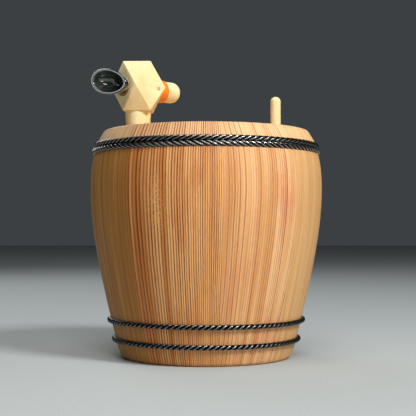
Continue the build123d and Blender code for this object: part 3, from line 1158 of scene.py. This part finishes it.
@dataclass
class Tap:
    """The tap: neck, faceted body, glass spout, rubber collar and knob."""

    half_width: float = 7.3
    neck_top_radius: float = 4.9
    neck_taper: float = 0.071
    body_edge: float = 0.22
    collar_radius: float = 4.3
    collar_length: float = 4.6
    collar_round: float = 0.5
    knob_radius: float = 4.0
    knob_length: float = 7.5
    knob_round: float = 3.4
    shank_radius: float = 2.0
    shank_length: float = 9.6
    cup_half_width: float = 8.85
    cup_half_height: float = 4.7
    cup_depth: float = 6.3
    cup_wall: float = 0.9
    cup_reach: float = 6.8
    cup_rise: float = 1.3
    cup_swing_deg: float = 12.0
    cup_roll_deg: float = 11.0
    cup_egg: float = 0.10
    stem_radius: float = 2.5
    stem_inner_end: float = -4.6
    stem_bore: float = 1.2
    blend_length: float = 2.2
    tenon_radius: float = 3.0
    neck_bore: float = 1.5
    ease: float = 0.3
    neck_rings: int = 8
    cup_rows: int = 18
    rim_steps: int = 8
    turn_steps: int = 64

    def __post_init__(self) -> None:
        """Read the tap's place from the frame."""
        joint = next(j for j in frame["joints"] if j["name"] == "plug_turn")
        axis = Vector(joint["axis"])
        self.turn = math.atan2(axis.y, axis.x)
        self.middle = Vector(joint["pos_m"])
        self.body_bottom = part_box("tap_body")[0].z / MM

    def along_plug(self, tip_deg: float = 90.0) -> Matrix:
        """The place of a piece turned about Z, tipped along the plug, with its Z outwards to the knob."""
        return (Matrix.Translation(self.middle) @ Matrix.Rotation(self.turn, 4, "Z")
                @ Matrix.Rotation(math.radians(tip_deg), 4, "Y"))

    def upright(self) -> Matrix:
        """The place of a piece turned about Z and standing on the tap's own axis."""
        return Matrix.Translation((self.middle.x, self.middle.y, 0)) @ Matrix.Rotation(self.turn, 4, "Z")

    def build_neck(self, wood: Material) -> None:
        """The tapered neck with its tenon and bore.

        Args:
            wood: its finish.
        """
        low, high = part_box("tap_neck")
        tip, tenon_top, bottom = low.z / MM, high.z / MM, self.body_bottom
        top_radius, ease = self.neck_top_radius, self.ease
        outline = [(self.neck_bore, tip), (top_radius - (bottom - tip) * self.neck_taper - ease, tip)]
        for step in range(self.neck_rings):
            level = tip + ease if step == 0 else tip + ease + (bottom - tip - 0.5) * step / self.neck_rings
            below = bottom - (tip if step == 0 else level)
            outline.append((top_radius - below * self.neck_taper, level))
        outline += [(top_radius, bottom - ease / 2), (top_radius - ease / 2, bottom),
                    (self.tenon_radius, bottom), (self.tenon_radius, tenon_top), (self.neck_bore, tenon_top)]
        neck = turn("turned_neck", outline, self.turn_steps, self.upright(), wood)
        hand_over(neck, Body.TAP, Slot.BASSWOOD, "tap_neck")

    def build_body(self, wood: Material) -> None:
        """The faceted body, from the frame's own shape with its edges eased.

        Args:
            wood: its finish.
        """
        mesh = frame["nodes"]["tap_body"].data.copy()
        body = bpy.data.objects.new("faceted_body", mesh)
        bpy.context.scene.collection.objects.link(body)
        pick(body)
        bpy.ops.mesh.customdata_custom_splitnormals_clear()
        bpy.ops.object.mode_set(mode="EDIT")
        bpy.ops.mesh.select_all(action="SELECT")
        bpy.ops.mesh.remove_doubles(threshold=0.002 * MM)
        bpy.ops.mesh.dissolve_limited(angle_limit=math.radians(1.0))
        bpy.ops.object.mode_set(mode="OBJECT")
        bevel(body, self.body_edge, 3, 24.0)
        shade(body, 24.0)
        dress(body, wood)
        hand_over(body, Body.TAP, Slot.BASSWOOD, "tap_body")

    def build_knob(self, wood: Material, rubber: Material) -> None:
        """The rubber collar and the round-ended knob on the plug's shank.

        Args:
            wood: the knob's finish.
            rubber: the collar's finish.
        """
        start = self.half_width + 0.1
        joint = start + self.collar_length
        shank, radius, place = self.shank_radius, self.knob_radius, self.along_plug()
        outline = [(shank, start), (self.collar_radius - self.collar_round, start),
                   *corner(self.collar_radius, start, self.collar_round, -90, 5),
                   *corner(self.collar_radius, joint, self.collar_round, 0, 5), (shank, joint)]
        collar = turn("rubber_collar", outline, self.turn_steps, place, rubber)
        hand_over(collar, Body.PLUG, Slot.SILICONE, "tap_collar")

        end, shank_end = joint + self.knob_length, start + self.shank_length
        outline = [(shank, joint), (radius - 0.2, joint), (radius, joint + 0.2),
                   *corner(radius, end, self.knob_round), (0.0, end), (0.0, shank_end), (shank, shank_end)]
        knob = turn("round_knob", outline, self.turn_steps, place, wood)
        hand_over(knob, Body.PLUG, Slot.BASSWOOD, "tap_knob")

    def build_spout(self, glass: Material, ground: Material) -> None:
        """The oval glass cup on its stem.

        Args:
            glass: the finish of the whole cup.
            ground: the finish of its rim.
        """
        mouth = self.half_width + self.cup_reach
        apex = mouth - self.cup_depth
        wall, stem_end = self.cup_wall, -self.stem_inner_end
        outer: Outline = [(self.stem_radius, stem_end), (self.stem_radius, apex - self.ease)]
        inner: Outline = []
        surfaces = ((outer, 0.0, self.stem_radius + 0.35), (inner, wall, self.stem_bore + 0.2))
        for step in range(self.cup_rows + 1):
            angle = math.radians(90 * step / self.cup_rows)
            for points, inset, least in surfaces:
                radius = (self.cup_half_height - inset) * math.sin(angle)
                if radius > least:
                    points.append((radius, mouth - (self.cup_depth - inset) * math.cos(angle)))
        rim: Outline = []
        for step in range(1, self.rim_steps):
            angle = math.pi * step / self.rim_steps
            rim.append((self.cup_half_height - wall / 2 * (1 - math.cos(angle)),
                        mouth + wall / 2 * math.sin(angle)))
        bore = [(self.stem_bore, apex + wall + 0.15), (self.stem_bore, stem_end)]
        cup = outline_ring("smoked_glass_cup", outer + rim + inner[::-1] + bore)
        spin(cup, 360, 2 * self.turn_steps)
        dress(cup, glass)
        cup.data.materials.append(ground)
        for face in cup.data.polygons:
            face.material_index = int(face.center.z > (mouth + 0.85 * wall / 2) * MM)
        self.shape_cup(cup, apex, mouth)
        tidy_mesh(cup)
        shade(cup, 60.0)
        seat(cup, self.along_plug(-90.0))
        hand_over(cup, Body.TAP, Slot.GLASS, "glass_spout")

    def shape_cup(self, cup: Object, apex: float, mouth: float) -> None:
        """Draw the round cup out into an oval that swings and rolls, leaving its stem round and straight.

        The cup is turned about Z, with its mouth at the top. Its X is up and its Y is across.

        Args:
            cup: the round cup.
            apex: the height where the bowl starts.
            mouth: the height of the mouth.
        """
        widen = self.cup_half_width / self.cup_half_height
        pivot = Vector((0, 0, mouth * MM))
        swing = Matrix.Rotation(math.radians(self.cup_swing_deg), 3, "X")
        roll = Matrix.Rotation(math.radians(-self.cup_roll_deg), 3, "Z")
        rise = Vector((self.cup_rise * MM, 0, 0))
        for vertex in cup.data.vertices:
            share = min(1.0, max(0.0, (vertex.co.z / MM - apex + self.ease) / self.blend_length))
            share = share * share * (3 - 2 * share)
            spot = vertex.co.copy()
            spot.y *= 1 + (widen - 1) * share
            spot.x *= 1 + self.cup_egg * share * spot.y / (self.cup_half_width * MM)
            turned = swing @ (roll @ (spot - pivot)) + pivot + rise
            vertex.co = spot.lerp(turned, share)

    def build(self, wood: Material) -> None:
        """Make and hand over every piece of the tap.

        Args:
            wood: the finish of its wooden pieces.
        """
        rubber, cork = SiliconeFinish().build(), CorkFinish().build()
        self.build_neck(wood)
        self.build_body(wood)
        self.build_knob(wood, rubber)
        reach = self.half_width + self.cup_reach
        cup_middle = self.middle / MM + Vector((-reach * math.cos(self.turn), -reach * math.sin(self.turn),
                                                self.cup_rise))
        glass = SmokedGlassFinish(middle_mm=tuple(cup_middle), turn_deg=math.degrees(self.turn),
                                  half_width_mm=self.cup_half_width)
        self.build_spout(glass.build(), GroundGlassFinish().build())
        dress_node("tap_plug", wood)
        dress_node("tap_pin", BasswoodFinish("walnut_end_grain", "#dcb582", "#c4935a").build())
        dress_node("plug_liner", cork)
        dress_node("spout_seal", cork)


@dataclass
class VentPeg:
    """The vent peg: a dowel with a rounded top."""

    radius: float = 2.0
    tip_radius: float = 1.7
    round_mm: float = 1.8
    ease: float = 0.2
    head_face: float = 81.0
    turn_steps: int = 48

    def build(self, wood: Material) -> None:
        """Make and hand over the peg.

        Args:
            wood: its finish.
        """
        low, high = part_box("vent_peg")
        tip, top = low.z / MM, high.z / MM
        outline = [(0.0, tip), (self.tip_radius - self.ease, tip), (self.tip_radius, tip + self.ease),
                   (self.radius, self.head_face), *corner(self.radius, top, self.round_mm), (0.0, top)]
        middle = (low + high) / 2
        place = Matrix.Translation((middle.x, middle.y, 0))
        peg = turn("turned_peg", outline, self.turn_steps, place, wood)
        hand_over(peg, Body.PEG, Slot.BASSWOOD, "vent_peg")


# ---------------------------------------------------------------- the studio


@dataclass
class Studio:
    """A plain pale floor, soft lights and the camera."""

    floor_size: float = 6.0
    floor_colour: str = "#b5bbba"
    backdrop_colour: str = "#3c4043"
    camera_x: float = 0.0007
    camera_distance: float = 0.376
    camera_height: float = 0.0476
    camera_tilt_deg: float = 1.4
    lens_mm: float = 84.3

    def build(self) -> None:
        """Make the floor, the lights and the camera."""
        self.build_floor()
        self.build_lights()
        deselect()
        bpy.ops.object.camera_add(
            location=(self.camera_x, -self.camera_distance, self.camera_height),
            rotation=(math.radians(90 + self.camera_tilt_deg), 0, 0))
        camera = bpy.context.object
        camera.data.lens = self.lens_mm
        camera.data.sensor_width = 36.0
        camera.data.clip_start = 0.01
        bpy.context.scene.camera = camera

    def build_floor(self) -> None:
        """Lay the floor."""
        deselect()
        bpy.ops.mesh.primitive_plane_add(size=self.floor_size)
        floor = bpy.context.object
        floor.name = "floor"
        dress(floor, SheetFinish("matt_sheet", self.floor_colour).build())

    def add_light(self, name: str, place: tuple[float, float, float], size: float, watts: float,
                  colour: str = "#ffffff") -> None:
        """Add a soft square light that faces the keg.

        Args:
            name: the light's name.
            place: where it is, in metres.
            size: its side, in metres.
            watts: its power.
            colour: its sRGB colour.
        """
        deselect()
        bpy.ops.object.light_add(type="AREA", location=place)
        light = bpy.context.object
        light.name = name
        light.data.size = size
        light.data.energy = watts
        light.data.color = linear(colour)[:3]
        aim = Vector((0, 0, 0.06)) - Vector(place)
        light.rotation_euler = aim.to_track_quat("-Z", "Y").to_euler()

    def build_lights(self) -> None:
        """A key at the right, one above, a weak fill, a softbox over the camera, one behind, a dim room."""
        self.add_light("key", (0.42, -0.46, 0.60), 0.2, 5.6)
        self.add_light("top", (-0.05, -0.2, 0.85), 0.4, 1.6)
        self.add_light("fill", (0.22, -0.72, 0.05), 0.25, 0.9, "#ffe6c8")
        self.add_light("softbox", (0.0, -0.57, 0.60), 0.3, 1.7)
        self.add_light("behind", (-0.3, 0.5, 0.5), 0.35, 1.2)
        world = bpy.data.worlds.new("room")
        bpy.context.scene.world = world
        world.use_nodes = True
        feed(world.node_tree.nodes["Background"], {"Color": linear(self.backdrop_colour), "Strength": 1.0})
        bpy.context.scene.view_settings.view_transform = "Standard"


def fir_for_staves(widths: tuple[float, ...], first_joint_deg: float) -> list[FirFinish]:
    """Choose each stave's wood.

    Args:
        widths: the staves' widths in degrees.
        first_joint_deg: where the first stave starts.

    Returns:
        One finish for each stave, its pattern centred on it.
    """
    heart = dict(early="#f0b474", amber="#c67c3c", late="#742f0a", blush="#c65f3c", ring_mm=1.08,
                 crowding=0.012, depth_left=0.25, depth_right=-0.45, contrast_left=1.05,
                 contrast_right=1.2, faintest=0.6, blush_amount=0.5, fleck_place_mm=(-5.5, 58.0))
    grouped = dict(early="#f3c18b", amber="#d99c5f", late="#964a1c", blush="#de8868", ring_mm=0.98, tilt=0.25,
                   depth_left=0.6, depth_right=-0.6, contrast_left=0.85, contrast_right=1.2, faintest=0.1,
                   blush_amount=0.7)
    plain = dict(early="#e9ba80", amber="#daa56a", late="#a86a30", blush="#d99472", ring_mm=1.2,
                 contrast_left=0.5, contrast_right=0.5, faintest=0.2, blush_amount=0.25)
    tan = dict(early="#bd8a48", amber="#a86e34", late="#744216", blush="#a46034", ring_mm=1.4,
               contrast_left=0.45, contrast_right=0.6, faintest=0.2, blush_amount=0.2)
    looks = [heart, grouped, plain, tan, plain, grouped, plain, tan]
    finishes = []
    start = first_joint_deg
    for number, (width, look) in enumerate(zip(widths, looks), start=1):
        turn_deg = -(start + width / 2 + 90)
        finishes.append(FirFinish(f"oiled_fir_{number}", seed=float(number * 13), turn_deg=turn_deg, **look))
        start += width
    return finishes


def main() -> None:
    """Build the keg piece by piece, then the studio."""
    logging.basicConfig(level=logging.INFO)
    shape = CaskShape()
    hoops = Hoops(shape)
    staves = Staves(shape, hoops.notches())
    staves.build(fir_for_staves(staves.widths_deg, staves.first_joint_deg))
    hoops.build()
    board = FirFinish("oiled_fir_heads", early="#e8b878", amber="#dda766", late="#a9713c",
                      blush="#d79a70", seed=5.0, ring_mm=1.8, half_width_mm=36.0, faintest=0.3,
                      run=GrainRun.ACROSS)
    for node in ("top_head", "bottom_head"):
        dress_node(node, board.build())
    wood = BasswoodFinish().build()
    Tap().build(wood)
    VentPeg().build(wood)
    Studio().build()


if __name__ == "__main__":
    main()
